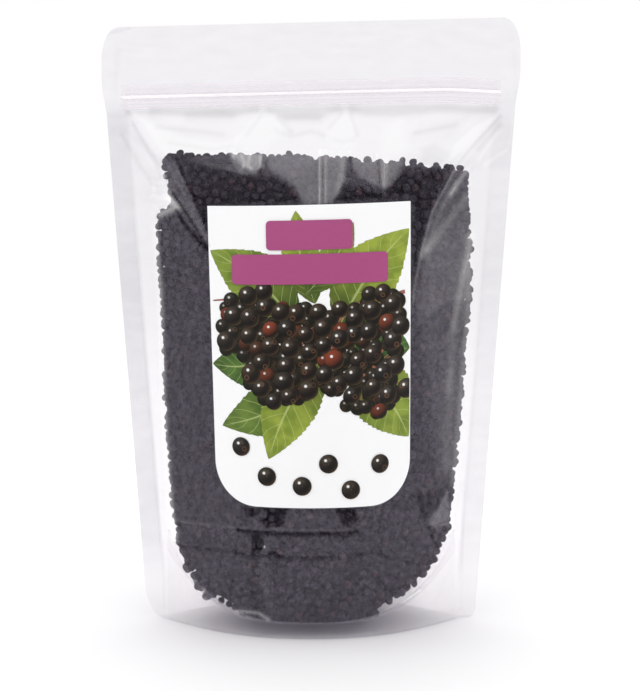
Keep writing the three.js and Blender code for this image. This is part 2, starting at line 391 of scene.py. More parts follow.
def front_relief(x, z):
    out = sum(ridge(x, z, line, height, width) for line, height, width in RIDGES)
    for tent_x, tent_z in TENTS:
        fall = np.maximum(tent_z - z, 0)
        across = np.exp(-(((x - tent_x) / (2.5 + 0.45 * fall)) ** 2))
        out += TENT_HEIGHT * across * smooth(fall / 5) * np.exp(-fall / 16)
    for pleat_x in PLEATS:
        out += PLEAT_HEIGHT * np.exp(-(((x - pleat_x) / 0.8) ** 2)) * band(z, 196, 4, 222, 8)
    puckers = 0.45 * np.sin(x * 0.19 + 0.6) * np.sin(x * 0.083 + 1.9)
    out += puckers * band(z, 205, 12, 234, 5)
    calm = smooth((half_width(z) - SEAL - np.abs(x)) / 6) * band(z, 3, 12, 236, 3)
    return out * calm


# %% Patches of haze, milk and painted light on the front
# Each patch is its outline in mm, how soft its edge is, and how much haze and milk it adds. The milk is
# partly painted light: painted glare above nought, a painted darker reflection below it.
PATCHES = [
    # where the film is pressed on the berries
    ([(-57, 215), (-43, 214.5), (-32, 211), (-22, 210.5), (-9.4, 206), (-3.6, 197), (-46.5, 197),
      (-46.5, 184), (-54, 202)], 2, -0.088, 0),
    ([(40, 212), (48, 211), (64, 210), (62, 207.5), (53.6, 190.6), (49.2, 174), (46.2, 158), (45.8, 198),
      (10, 197), (14, 204), (22, 204), (33, 199.5)], 1.6, -0.088, 0),
    ([(-30.7, 60.2), (-22.1, 60.9), (-23.9, 57.6), (-29.3, 55.7)], 0.7, -0.09, 0),
    ([(-22.1, 61), (-10.3, 61.4), (-13, 52.7), (-20.7, 51.8), (-23, 55.3), (-19.4, 57.8)], 0.8, -0.095, 0),
    ([(10.8, 61.4), (19.8, 61), (21.2, 55.4), (17.6, 52), (13.9, 54)], 0.8, -0.095, 0),
    ([(-26.6, 49.1), (-21.2, 49.5), (-21.7, 41.6), (-25.7, 38.5), (-27.1, 40.2)], 0.6, -0.095, 0),
    ([(-20.3, 40.8), (-16.7, 41.5), (-12.2, 38.9), (-16.2, 38.7)], 0.5, -0.09, 0),
    ([(11.2, 50), (18.5, 49.6), (14.9, 47.1)], 0.5, -0.09, 0),
    ([(45.9, 64.2), (59.1, 64.1), (57.2, 57.5), (53, 50.4), (49.6, 55.7)], 1.4, -0.05, 0),
    # where it stands off the heap: milky, with painted glare over it
    ([(-21, 220), (3.2, 220), (3.1, 196), (-3.6, 196), (-6.3, 202.6), (-12.6, 208),
      (-18.5, 211.6)], 1.6, 0.09, 0.3),
    ([(3.2, 221), (16, 220), (15.3, 206.4), (9.5, 196), (3.1, 196)], 0.9, 0.1, 0.35),
    ([(18, 218), (42, 216), (41, 208.5), (37, 204), (33.3, 202), (28.8, 203.6), (22, 208),
      (18.5, 211.6)], 1.1, 0.1, 0.35),
    ([(-38, 220), (-31, 212.8), (-27.5, 211.4), (-22, 213), (-20.5, 219)], 1.5, 0.22, 0.5),
    ([(-68.5, 217.2), (-61.5, 215), (-55, 202.5), (-50.1, 192.5), (-46, 184), (-46, 178), (-60.2, 194.5),
      (-67, 204)], 0.7, 0.06, 0.1),
    ([(-62, 209), (-48, 209.6), (-40, 206), (-52, 204), (-60, 205)], 1.6, 0.02, 0),
    ([(74, 212), (65, 208.5), (54.7, 190.6), (50.1, 174), (46.9, 156), (48, 140), (62, 150),
      (76, 149)], 0.8, 0.03, 0.1),
    ([(53.5, 50.3), (59.1, 57.1), (62.9, 63.3), (64, 46.4), (55.4, 47)], 0.9, 0.1, 0.25),
    ([(50, 175), (72, 190), (71, 150), (67, 90), (64, 68), (58, 72), (55, 100),
      (50, 130)], 4, 0.04, 0.12),
    # the empty part under the zip, with painted darker reflections and painted glare
    ([(-84.4, 239.9), (-66.2, 209.6), (-68.6, 196), (-90.4, 193.4), (-92.3, 236.8)], 1.6, 0.03, -0.2),
    ([(85.9, 232.4), (65.2, 209.6), (76.8, 208), (91.6, 208), (91.4, 232.3)], 1.6, 0.03, -0.2),
    ([(-73.1, 236.5), (-34.4, 232.3), (-36.6, 225.8), (-61.6, 226.1), (-70.8, 230.7)], 1.6, 0.035, 0.1),
    ([(49.4, 230.6), (72.1, 232.5), (63, 223.1), (44.7, 222)], 2, 0.06, 0.1),
    ([(49, 219), (56, 221), (63, 216), (58, 211), (50, 213)], 2, 0.06, -0.5),
    ([(-28.5, 231.3), (-22.2, 237.1), (-16.3, 236.2), (-9.5, 229.6), (-16, 226.7), (-22.1, 219),
      (-29.8, 219), (-34, 225)], 2.2, -0.085, 0),
    ([(6.3, 229.2), (15.4, 236.3), (20, 231.5), (19.5, 219), (9, 219)], 2.2, -0.075, 0),
    ([(-82.2, 238.1), (-68.5, 230.9), (-57.1, 226.3), (-38.9, 224), (-32.1, 227), (-34, 219), (-60, 217),
      (-66, 218)], 1.4, -0.085, 0),
    ([(84.5, 232.1), (75.8, 229), (65, 220.4), (60.9, 209.7), (66, 211)], 1, -0.09, 0),
    ([(41, 232), (33, 229), (31, 216), (39, 214), (44, 220)], 3, -0.085, 0),
    # the two bottom corners, whitened partly by milk and partly by painted light
    ([(-66, 62), (-64, 44), (-59.5, 28), (-52, 17.5), (-44, 13), (-56, 7.5), (-69, 4),
      (-69, 62)], 0.9, 0.17, 0.4),
    ([(69, 66), (66, 44), (60, 29), (50, 20), (41, 14), (56, 7), (70, 4), (71, 66)], 0.9, 0.21, 0.5),
]
# Each line is its points, its width, and how much haze and milk it adds. The milk is partly painted light:
# painted glare above nought, a painted darker reflection below it.
LINES = [
    # painted grey reflections and painted gleams under the zip
    ([(-72, 238.2), (-58, 236.8), (-34, 236.4), (-25, 238)], 1.8, 0.09, -0.6),
    ([(-55, 236), (-36, 235.8)], 2.6, 0.09, -0.6),
    ([(-19, 237), (-12, 234.8), (5, 234.6), (12, 237)], 1.8, 0.09, -0.6),
    ([(-11, 234), (3, 233.8)], 2.6, 0.1, -0.6),
    ([(19, 237), (24, 235.4), (38, 234.6), (58, 235.6), (82, 234.4)], 2, 0.11, -0.9),
    ([(-83, 238), (60, 237.2), (84, 235.6)], 1.5, 0.08, -1),
    ([(-80.8, 232.2), (-74, 221), (-68.6, 214)], 1.4, 0.08, -0.35),
    ([(-86, 228), (-78, 214), (-72, 206)], 1.2, 0.07, -0.35),
    ([(-83, 238.5), (-66.5, 209)], 0.7, 0.2, 0.7),
    ([(85.9, 227.9), (75.8, 217.1)], 1.1, 0.06, -0.5),
    ([(89.2, 216.4), (79.1, 210.1)], 1, -0.07, 0),
    ([(86, 232), (72, 217.5), (65.2, 209.6)], 0.9, 0.08, -0.4),
    ([(84.5, 224), (76, 213)], 0.8, -0.08, 0),
    ([(-16.3, 229), (-9, 226), (0, 228), (6, 226)], 1.2, 0.05, -0.6),
    ([(10, 224), (14, 223), (19, 224)], 1.2, 0.04, -0.5),
    ([(-29, 227), (-22.5, 235.5)], 1.1, 0.06, -0.6),
    ([(-15, 234), (-9, 228)], 1.3, 0.07, -0.7),
    ([(8, 229), (14, 235.5)], 1.2, 0.06, -0.6),
    ([(18, 235), (21, 226)], 1.1, 0.06, -0.6),
    ([(-70, 231), (-52, 229), (-40, 227.5)], 1.2, 0.05, -0.6),
    ([(-64, 224), (-46, 221), (-36, 222)], 0.9, 0.05, -0.6),
    ([(47, 226), (66, 229)], 1.2, 0.05, -0.7),
    # painted gleams over the top of the heap
    ([(4.1, 220), (4, 196)], 0.6, 0.06, 0.5),
    ([(6.7, 219), (6.6, 197)], 0.6, 0.045, 0.5),
    ([(5.3, 219), (5.3, 197)], 0.4, -0.05, 0),
    ([(15, 218), (12.1, 199)], 1.5, 0.02, 0.35),
    ([(17.6, 219), (18.5, 209.8)], 0.5, -0.14, 0),
    ([(29.8, 217), (31.5, 202.8)], 0.5, -0.14, 0),
    ([(-20.7, 220), (-22.8, 211.4)], 0.5, -0.15, 0),
    ([(33.4, 215), (32.9, 203.6)], 1.3, 0.06, 0.4),
    ([(-35.5, 219), (-34.5, 214), (-31.5, 211.6), (-30, 214.5), (-31.5, 219)], 0.75, 0.06, 0.4),
    ([(-27.6, 219), (-28.4, 213.6), (-25.6, 211), (-22.4, 213), (-23, 218)], 0.75, 0.06, 0.4),
    ([(-48, 214.5), (-38, 212.5), (-30, 210.3), (-25, 210)], 0.9, 0.07, 0.3),
    ([(-60.6, 216), (-54.7, 203), (-50.1, 193.3), (-46, 184.4)], 0.75, -0.18, 0),
    ([(-67.5, 208), (-64.5, 200), (-60, 195.5)], 1.6, 0.1, 0.5),
    ([(-62.6, 201.5), (-59.3, 196.6), (-51.9, 186), (-46, 177)], 0.75, -0.2, 0),
    ([(-61.1, 194), (-54.7, 184.6), (-47.5, 177)], 0.7, -0.18, 0),
    ([(-60.6, 198), (-53, 186.2), (-46, 178)], 0.3, 0.05, 0.4),
    # the right side, from the shoulder down, with painted glare on its facets
    ([(65.2, 208.7), (54.7, 190.6), (50.1, 174), (46.9, 158.7), (46, 150)], 0.5, 0.1, 0.4),
    ([(72, 210.5), (63.5, 198)], 1.3, 0.11, 0.45),
    ([(70.5, 196), (57, 180), (51, 172)], 2, 0.06, 0.4),
    ([(66, 203), (56, 186), (52, 174)], 1.6, 0.03, 0.3),
    ([(69.6, 166.8), (67.4, 150), (64.2, 130), (63, 109.6)], 2.2, 0.03, 0.25),
    ([(72.4, 178), (71.7, 140), (69.6, 113), (67.9, 90), (66.2, 67)], 2.2, 0.09, 0.5),
    ([(73.3, 180), (70.6, 166.7), (67, 150), (64.6, 136.6)], 1.5, 0.03, 0.3),
    ([(64.3, 117.6), (62.6, 96), (62.3, 73)], 2.4, 0.025, 0.2),
    # the left side, with painted glare
    ([(-71.4, 187), (-69, 157), (-67.8, 105), (-65.8, 68), (-62.6, 40)], 1.7, 0.15, 0.7),
    ([(-72.2, 200), (-64.8, 198.6), (-62, 194.9), (-68.5, 192)], 2, 0.2, 0.7),
    # the creases under the label, with painted glints on some of them
    ([(-62, 48.9), (-32, 51), (-5, 51.2), (20.7, 50.8)], 0.42, 0.035, 0.35),
    ([(-33, 49.7), (-22, 49.4), (8.5, 49.6), (20.7, 50)], 0.75, -0.15, 0),
    ([(-62.9, 58.7), (-61.6, 48.5)], 0.5, -0.07, 0),
    ([(-62.1, 47.9), (-56.3, 45.4), (-51.6, 40.8)], 0.5, -0.07, 0),
    ([(-59.3, 37.1), (-43.7, 39.4), (-27.6, 38.3), (13, 38.9)], 0.5, -0.075, 0),
    ([(18.5, 40), (28.9, 39.1), (40.5, 34.3), (49.8, 30.7), (59.4, 29.4)], 0.5, -0.06, 0),
    ([(30.4, 28.7), (30.8, 24.3), (33.6, 21.6), (41.5, 21.3)], 0.7, -0.06, 0),
    ([(53.5, 47.4), (64, 48.8)], 0.5, -0.08, 0),
    ([(53.5, 47.4), (58.3, 36.9)], 0.5, -0.08, 0),
    ([(-21, 43.2), (-20.7, 42.8)], 0.45, 0.5, 1),
    ([(-26, 36.8), (-26, 22.7), (-24, 13)], 2.2, -0.03, 0),
    ([(-21.5, 34), (-21, 22.7), (-17, 12.5)], 2.2, 0.016, 0.1),
    ([(-35, 11.4), (-24, 11.8), (-19, 8.6)], 0.8, 0.18, 0.7),
    ([(31.4, 12.3), (40.6, 14.2), (50, 18.5)], 0.5, 0.12, 0.6),
    # the header and the foot's edge
    ([(-87.5, 266), (-89, 247)], 1.6, 0.045, 0),
    ([(-91, 274), (-82, 276)], 1, 0.1, 0),
    ([(92, 262), (93.4, 240)], 1, 0.04, 0),
    ([(-76, 0.3), (76, 0.3)], 0.6, 0.16, 0),
]


# %% The haze of the front panel
PANEL_HAZE, LEFT_STRIP_HAZE, RIGHT_STRIP_HAZE = 0.112, 0.18, 0.10


def pressed(x, z):
    return smooth((half_width(z) - np.abs(x) - 15) / 4) * band(z, 12, 6, 206, 7)


def front_haze(x, z):
    haze = PANEL_HAZE - 0.008 * (z < 200) + 0.018 * band(z, 204, 10, 236, 3)
    strip = smooth((np.abs(x) - half_width(z) + 11) / 2.5) * band(z, 12, 30, 236, 10)
    strip = strip * (1.25 - 0.55 * smooth((z - 165) / 45))
    haze += np.where(x < 0, LEFT_STRIP_HAZE, RIGHT_STRIP_HAZE) * strip
    # The side strips get the painted darker grey, milk below nought, as a painted reflection.
    milk = -0.35 * strip
    marks = [(inside(x, z, outline, soft), more, white) for outline, soft, more, white in PATCHES]
    marks += [(ridge(x, z, line, 1.0, width), more, white) for line, width, more, white in LINES]
    for share, more, white in marks:
        haze += more * share
        milk += white * share
    touch = pressed(x, z) * (1 - np.clip(2 * milk, 0, 1))
    return {"haze": np.clip(haze, 0.012, 0.9), "milk": np.clip(milk, -1, 1), "touch": touch}


# %% The front and back panels
FOOT_CORNER_TIGHT = 0.35
# The bottom corners are whitened partly by milk and partly by painted light, a glow over the shade the heap
# casts there.
BACK_HAZE, CORNER_MILK_AND_PAINTED_LIGHT = 0.105, 0.55


def panel_grid(columns, rows):
    z = np.linspace(0, HEIGHT, rows)[:, None] + np.zeros((rows, columns))
    u = np.linspace(-1, 1, columns)[None, :]
    tight = FOOT_CORNER_TIGHT * corner_cut(3 * z)
    x = u * (half_width(z) - np.where((u > 0) & (z < 60), tight, corner_cut(z)))
    return x, z


def make_panel(name, node, side, columns, rows, relief, haze):
    x, z = panel_grid(columns, rows)
    y = panel_inner(x, z) + FILM / 2 * slant(x, z) + relief(x, z)
    mesh = sheet_mesh(name, x, side * y, leaned(x, z), flip=side > 0, numbers=haze(x, z))
    add_object(mesh, film_material, node)


def back_relief(x, z):
    return 0.6 * front_relief(-x, z)


def back_haze(x, z):
    empty = band(z, 208, 8, 232, 8) * smooth((half_width(z) - np.abs(x) - 12) / 8)
    folds = ridge(x, z, FOLD_RIGHT, 0.06, 1.4) + ridge(-x, z, FOLD_RIGHT, 0.06, 1.4)
    corners = smooth((np.abs(x) - 46) / 6) * (1 - smooth((z - 40) / 20))
    haze = BACK_HAZE - 0.065 * empty + folds - 0.05 * corners
    return {"haze": haze, "milk": CORNER_MILK_AND_PAINTED_LIGHT * corners, "touch": pressed(x, z) * (1 - corners)}


make_panel("pouch_front", "film_front", -1, 262, 372, front_relief, front_haze)
make_panel("pouch_back", "film_back", 1, 150, 220, back_relief, back_haze)

# %% [markdown]
# ## The bottom gusset
# The gusset is a third sheet, folded up into the pouch and welded to both panels along a curve. Under
# the weight of the berries it opens into a boat shape, and that is what makes the pouch stand.

# %% Gusset
GUSSET_HALF, GUSSET_EDGE, GUSSET_SAG, SKIRT_ROWS = 66.8, 71, 8.6, 12


def gusset_seal(x):
    return 8 + 40 * (np.abs(x) / GUSSET_EDGE) ** 3.3


def gusset_top(x, v):
    return np.maximum(gusset_seal(x) - GUSSET_SAG * (1 - v * v), FILM)


def gusset_depth(x):
    return panel_inner(x, gusset_seal(x)) - GAP


def make_gusset():
    x = np.linspace(-GUSSET_HALF, GUSSET_HALF, 241)
    skirt = []
    for share in np.linspace(0, 1, SKIRT_ROWS, endpoint=False):
        z = gusset_seal(x) * share
        skirt.append((GAP - panel_inner(x, z), z))
    boat = [(gusset_depth(x) * v, gusset_top(x, v)) for v in np.linspace(-1, 1, 81)]
    rows = skirt + boat + [(-y, z) for y, z in reversed(skirt)]
    y, z = (np.array([row[i] for row in rows]) for i in (0, 1))
    x = x + np.zeros_like(y)
    ends = smooth((np.abs(x) - 44) / 12)
    # The ends of the gusset get the same milk and painted light.
    numbers = {"haze": 0.12 - 0.085 * ends, "milk": CORNER_MILK_AND_PAINTED_LIGHT * ends}
    mesh = sheet_mesh("pouch_gusset", x, y, leaned(x, z), flip=True, numbers=numbers)
    add_object(mesh, film_material, "film_gusset")


make_gusset()

# %% [markdown]
# ## The zip
# A press-to-close zip is extruded plastic: a rib on one strip and a track on the other. From outside it
# shows as a band of fine level lines, with one bright line where the closed profile stands proud. That
# bright line and two thin white lines beside it are painted highlights, white milk that also glows a
# little. The band bends down a little towards its right end, as in the picture.

# %% Zip
ZIP_Z, ZIP_HALF, ZIP_END, ZIP_BEND = 243.8, 86.5, 0.18, 0.9
RIBS, BEAD_HALF = (-5.4, -3.4, 3.2, 5.0), 0.85
# Each fine line is how much haze it adds, its place on the band and its width.
FINE_LINES = [
    (0.03, 1.4, 0.4), (0.035, -1.5, 0.5), (0.012, 3.2, 0.9), (0.10, 5.0, 0.25), (0.025, -3.4, 0.3),
    (0.02, -4.6, 0.3), (0.30, -5.4, 0.25),
]
zip_material = make_film("zip_plastic", 1.2, (0.02, 1, 1), 0.3)


def level_line(h, middle, width):
    return np.exp(-(((h - middle) / width) ** 2))


def zip_profile(side):
    z = np.linspace(-5.8, 5.7, 70)
    ribs = 0.10 * sum(level_line(z, middle, 0.25) for middle in RIBS)
    outer = 0.95 + ribs + 0.34 * np.sqrt(np.maximum(1 - (z / BEAD_HALF) ** 2, 0))
    inner = 0.55 - 0.35 * np.exp(-((z / 0.9) ** 4))
    loop_y = np.concatenate([outer, inner[::-1], outer[:1]])
    return side * loop_y, np.concatenate([z, z[::-1], z[:1]])


def zip_numbers(h, thin):
    painted_bead_highlight = np.exp(-((h / 0.82) ** 6))
    haze = 0.012 + 0.95 * painted_bead_highlight + sum(more * level_line(h, *line) for more, *line in FINE_LINES)
    # The milk of the bead and of the lines at 5.0 and -5.4 mm paints the zip's white highlights, which glow
    # a little.
    milk = 1.2 * painted_bead_highlight + level_line(h, 5.0, 0.3) + 1.2 * level_line(h, -5.4, 0.3)
    return {"haze": haze * thin, "milk": np.clip(milk, 0, 1)}


def make_zip(name, node, side):
    loop_y, loop_h = zip_profile(side)
    x = np.linspace(-ZIP_HALF, ZIP_HALF, 60)[:, None] + np.zeros(len(loop_y))
    thin = smooth((ZIP_HALF + 1.1 - np.abs(x)) / 5)
    y = ZIP_END * side + (loop_y - ZIP_END * side) * thin
    z = ZIP_Z + loop_h + ZIP_BEND * (1 - 2 * smooth((x - 58) / 32))
    numbers = zip_numbers(loop_h + 0 * x, thin)
    add_object(sheet_mesh(name, x, y, leaned(x, z), side < 0, numbers), zip_material, node)


make_zip("zip_front_strip", "zip_rib", -1)
make_zip("zip_back_strip", "zip_track", 1)

# %% [markdown]
# ## Dried elderberries
# A dried elderberry is a wrinkled ball of about four millimetres, nearly black. Thousands of them fill
# the pouch, but only the outer ones show. So a dark core takes the place of the inner ones, and loose
# berries are packed over it, a little uneven, as they lie against the film.

# %% Berry material
WRINKLE_MM = 1.1
# The wrinkles set the colour as well as the bumps: the skin is painted darker in their hollows, as painted
# shade, while the tone of each berry varies at random.
DARK_SKIN_AND_HOLLOW_SHADE, BLUE_SKIN = (0.004, 0.003, 0.006), (0.054, 0.042, 0.061)
RED_HOLLOW_SHADE, RED_SKIN = (0.018, 0.010, 0.014), (0.066, 0.038, 0.047)


def make_berry_material():
    look = Look("dried_berry")
    tone = look.attribute("tone")
    wrinkles = look.noise(WRINKLE_MM, detail=3.0)
    dark = look.mix(0.65 * wrinkles.step(0.35, 0.7) + 0.35 * tone, DARK_SKIN_AND_HOLLOW_SHADE, BLUE_SKIN)
    red = look.mix(wrinkles.step(0.3, 0.7), RED_HOLLOW_SHADE, RED_SKIN)
    look.set(Base_Color=look.mix(tone.step(0.88, 0.97), dark, red))
    look.set(Roughness=0.55 + 0.3 * wrinkles, Specular_IOR_Level=0.25)
    look.set(Normal=look.bump(wrinkles, 0.9, 0.5))
    return look.material


berry_material = make_berry_material()


# %% Wrinkled berries to copy
DENTS, SMALLEST, LARGEST = 7, 1.75, 2.2


def berry_shapes(count, seed):
    chance = np.random.default_rng(seed)
    ball = bmesh.new()
    bmesh.ops.create_icosphere(ball, subdivisions=2, radius=1)
    points = np.array([v.co for v in ball.verts])
    faces = np.array([[v.index for v in f.verts] for f in ball.faces])
    ball.free()
    shapes = []
    for _ in range(count):
        swell = np.ones(len(points))
        for _ in range(DENTS):
            way = chance.normal(size=3)
            way /= np.linalg.norm(way)
            swell += chance.uniform(-0.34, 0.14) * np.exp((points @ way - 1) * chance.uniform(3, 9))
        shapes.append(points * swell[:, None] * chance.uniform(0.82, 1.12, 3))
    return shapes, faces


def turned(points, chance):
    q = chance.normal(size=4)
    w, x, y, z = q / np.linalg.norm(q)
    turn = np.array([
        [1 - 2 * (y * y + z * z), 2 * (x * y - z * w), 2 * (x * z + y * w)],
        [2 * (x * y + z * w), 1 - 2 * (x * x + z * z), 2 * (y * z - x * w)],
        [2 * (x * z - y * w), 2 * (y * z + x * w), 1 - 2 * (x * x + y * y)],
    ])
    return points @ turn.T


def make_berries(name, centres, seed, node=None):
    chance = np.random.default_rng(seed)
    shapes, faces = berry_shapes(9, seed)
    per, side = len(shapes[0]), math.ceil(math.sqrt(len(centres)))
    points, tones, uv = [], [], []
    for i, centre in enumerate(centres):
        shape = turned(shapes[chance.integers(len(shapes))], chance) * chance.uniform(SMALLEST, LARGEST)
        points.append(shape + centre)
        tones.append(np.full(per, chance.random()))
        uv.append((np.array([i % side, i // side]) + 0.5 + 0.2 * shape[:, [0, 2]]) / side)
    all_faces = (faces[None] + per * np.arange(len(centres))[:, None, None]).reshape(-1, 3)
    mesh = mesh_from(name, np.concatenate(points), all_faces.tolist())
    set_uv(mesh, np.concatenate(uv))
    set_number(mesh, "tone", np.concatenate(tones))
    add_object(mesh, berry_material, node)


# %% [markdown]
# ## Where the berries lie
# The heap keeps clear of the side seals, and its top slopes down to the right, as it settled. Its
# outline is ragged, because it is made of berries. Points are thrown on each face of the heap and kept
# only if no other point is too near, which gives an even but random packing.

# %% The outline of the heap
SPACING, BERRY = 3.35, 2.15
LEFT_Z = [11, 14, 24, 40, 58, 105, 152, 184.5, 190, 193, 197, 206, 214, 217]
LEFT_X = [31, 47, 57, 61.4, 64.2, 66.6, 67.6, 70.4, 69.6, 64.5, 62.0, 65.2, 67.2, 66.4]
RIGHT_Z = [11, 16, 23, 31, 44, 67, 90, 126, 149, 172, 181, 208]
RIGHT_X = [30, 40, 49, 58, 63, 65.4, 68, 70.2, 72.6, 73, 71.6, 70.4]


def heap_left(z):
    return -np.interp(z, LEFT_Z, LEFT_X)


def heap_right(z):
    return np.interp(z, RIGHT_Z, RIGHT_X)


def heap_top(x):
    return 215.5 - 0.074 * x - 2.2 * (x / 70) ** 2


def scattered(wide, tall, spacing, seed):
    chance = random.Random(seed)
    cell = spacing / math.sqrt(2)
    taken, kept = {}, []
    tries = int(wide * tall / spacing**2 * 12)
    for _ in range(tries):
        x, y = chance.uniform(0, wide), chance.uniform(0, tall)
        cx, cy = int(x / cell), int(y / cell)
        near = (taken.get((cx + i, cy + j)) for i in (-2, -1, 0, 1, 2) for j in (-2, -1, 0, 1, 2))
        if all(p is None or (p[0] - x) ** 2 + (p[1] - y) ** 2 > spacing**2 for p in near):
            taken[(cx, cy)] = (x, y)
            kept.append((x, y))
    return np.array(kept)


def between_sides(x, z):
    return (x > heap_left(z)) & (x < heap_right(z))


def in_heap(x, z):
    return between_sides(x, z) & (z < heap_top(x))


def spots(x, y, z, keep):
    return np.stack([x, y, leaned(x, z)], -1)[keep]


def face_berries(side, spacing, seed, hidden=None):
    spot = scattered(160, 220, spacing, seed)
    x, z = spot[:, 0] - 80, spot[:, 1]
    keep = in_heap(x, z) & (z > gusset_top(x, 0.97) + 2.4)
    if hidden is not None:
        keep &= ~hidden(x, z)
    x, z = x[keep], z[keep]
    sink = 0.25 + np.random.default_rng(seed).uniform(0.0, 0.9, len(x))
    y = side * (panel_inner(x, z) - BERRY * slant(x, z) - sink)
    return spots(x, y, z, np.abs(y) >= 0.3)


def under_label(x, z):
    return (np.abs(x) < 42) & (z > 67) & (z < 192)


front_spots = face_berries(-1, SPACING, 11, under_label)
back_spots = face_berries(1, SPACING, 12)
print(len(front_spots), "berries on the front and", len(back_spots), "on the back")

# %% Berries on the top, the sides and the bottom of the heap
def top_berries(seed):
    spot = scattered(160, 90, 3.3, seed)
    x, y = spot[:, 0] - 80, spot[:, 1] - 45
    z = heap_top(x) - 1.5 - np.random.default_rng(seed).uniform(0, 2.0, len(x))
    keep = (np.abs(y) < panel_inner(x, z) - 2.2) & between_sides(x, z)
    return spots(x, y, z, keep)


def side_berries(edge, seed, sign):
    spot = scattered(60, 220, 3.3, seed)
    y, z = spot[:, 0] - 30, spot[:, 1]
    x = edge(z) - sign * np.random.default_rng(seed).uniform(0, 1.8, len(z))
    keep = (np.abs(y) < panel_inner(x, z) - 2.2) & (z < heap_top(x) - 2) & (z > gusset_top(x, 0.0) + 3)
    keep &= in_heap(x - sign * 2, z) & (z > 15)
    return spots(x, y, z, keep)


def bottom_berries(seed):
    spot = scattered(150, 90, 3.5, seed)
    x, y = spot[:, 0] - 75, spot[:, 1] - 45
    v = y / np.maximum(gusset_depth(x), 1)
    z = gusset_top(x, v) + 2.3
    return spots(x, y, z, (np.abs(v) < 0.95) & between_sides(x, z))


sides = [side_berries(heap_left, 22, -1), side_berries(heap_right, 23, 1)]
edge_spots = np.concatenate([top_berries(21), *sides, bottom_berries(24)])
make_berries("berries_front", front_spots, 31, "berries")
make_berries("berries_back", back_spots, 32)
make_berries("berries_edge", edge_spots, 33)

# %% [markdown]
# ## The core of the heap
# Between the loose berries the eye sees only more berries in the dark. The core is one closed form, a
# few millimetres inside them, with the same material, so that no light comes through the heap.

# %% Core
CORE_INSET, CORE_FOOT, CORE_TOP, CORE_DEPTH = 2.2, 2.8, 4.2, 4.6


def core_ring(share, around):
    angle = np.linspace(0, 2 * np.pi, around, endpoint=False)
    side = np.clip(1.25 * np.cos(angle), -1, 1)
    z = 12.0 + 196.0 * share + np.zeros(around)  # a first guess, which each round improves
    for _ in range(3):
        x = np.where(side > 0, side * (heap_right(z) - CORE_INSET), -side * (heap_left(z) + CORE_INSET))
        low = gusset_top(x, 0.9) + CORE_FOOT
        z = low + (heap_top(x) - CORE_TOP - low) * share
    flat = np.minimum(1, 2.2 * np.abs(np.sin(angle)))
    y = np.sign(np.sin(angle)) * np.maximum(panel_inner(x, z) - CORE_DEPTH, 0.2) * flat
    return np.stack([x, y, leaned(x, z)], -1)


def make_core(rings=90, around=96):
    points = [core_ring(share, around) for share in np.linspace(0, 1, rings)]
    here, after = np.arange(around), (np.arange(around) + 1) % around
    faces = []
    for low in range(0, (rings - 1) * around, around):
        faces += np.stack([low + here, low + after, low + around + after, low + around + here], -1).tolist()
    foot, top = rings * around, (rings - 1) * around
    faces += np.stack([after, here, np.full(around, foot)], -1).tolist()
    faces += np.stack([top + here, top + after, np.full(around, foot + 1)], -1).tolist()
    middles = [points[0].mean(0), points[-1].mean(0)]
    mesh = mesh_from("heap_core", np.concatenate([*points, middles]), faces)
    set_number(mesh, "tone", np.zeros(len(mesh.vertices)))
    add_object(mesh, berry_material)


make_core()

# %% [markdown]
# ## The label
# The label is a sticker of white satin paper with round lower corners, and it bends with the film. A
# point of it is found by going up the panel's middle from the label's foot, and then round the panel.
# So a shape drawn flat on the label keeps its size when it is laid on the pouch.

# %% From flat label to pouch
LABEL_WIDTH, LABEL_HEIGHT, LABEL_CORNER, LABEL_FOOT = 92.6, 136.5, 20.0, 61.5
PAPER_LIFT, LEAF_LIFT, STALK_LIFT, TWIG_LIFT, FRUIT_LIFT, BAR_LIFT = 0.55, 0.57, 0.69, 0.70, 0.712, 0.95


def label_spot(s, t, lift, steps_up=20, steps_round=12):
    s = s - 0.016 * (t - 78)
    z = np.full(np.shape(t), LABEL_FOOT)
    for _ in range(steps_up):
        rise = bulge(z + 0.5) - bulge(z - 0.5)
        z = z + t / steps_up / np.hypot(1, rise)
    x = np.zeros(np.shape(s))
    for _ in range(steps_round):
        slope = panel_inner(x + 0.5, z) - panel_inner(x - 0.5, z)
        x = x + s / steps_round / np.hypot(1, slope)
    y = panel_inner(x, z) + (FILM + lift) * slant(x, z)
    return x, -y, leaned(x, z)


def rounded_half(width, corner, from_end):
    return width / 2 - corner + np.sqrt(corner**2 - np.maximum(corner - from_end, 0) ** 2)


def label_half(t):
    return rounded_half(LABEL_WIDTH, LABEL_CORNER, t)


def corner_rows(corner, count):
    return corner * (1 - np.cos(np.linspace(0, np.pi / 2, count)))


def on_label(name, s, t, lift, material, node=None):
    mesh = sheet_mesh(name, *label_spot(s, t, lift))
    flat = np.stack([(s + LABEL_WIDTH / 2) / LABEL_WIDTH, t / LABEL_HEIGHT], -1).reshape(-1, 2)
    set_uv(mesh, flat, "label_place")
    add_object(mesh, material, node)


# %% Label paper
def make_paper():
    look = Look("label_paper")
    look.set(Base_Color=look.mix(look.noise(0.6), (0.94, 0.94, 0.945), (0.965, 0.965, 0.97)))
    look.set(Roughness=0.34 + 0.12 * look.noise(4.0), Normal=look.bump(look.noise(0.5), 0.15, 0.05))
    return look.material


def make_label(columns=71):
    above = np.linspace(LABEL_CORNER, LABEL_HEIGHT, 100)[1:]
    t = np.concatenate([corner_rows(LABEL_CORNER, 20), above])[:, None] + np.zeros(columns)
    s = label_half(t) * np.linspace(-1, 1, columns)
    on_label("label_sheet", s, t, PAPER_LIFT, make_paper(), "label")


make_label()

# %% [markdown]
# ## The picture on the label
# A label of this kind shows the fruit on its bush. This picture is drawn for the part, as a collage:
# toothed leaves, red-brown stalks and shiny berries, each a small flat shape laid on the paper, one
# over the other. Each shape knows its own middle and edge through a UV map, so that one material can
# shade every berry as a ball and put veins in every leaf.

# %% Laying a collage on the label
MARGIN = 0.4


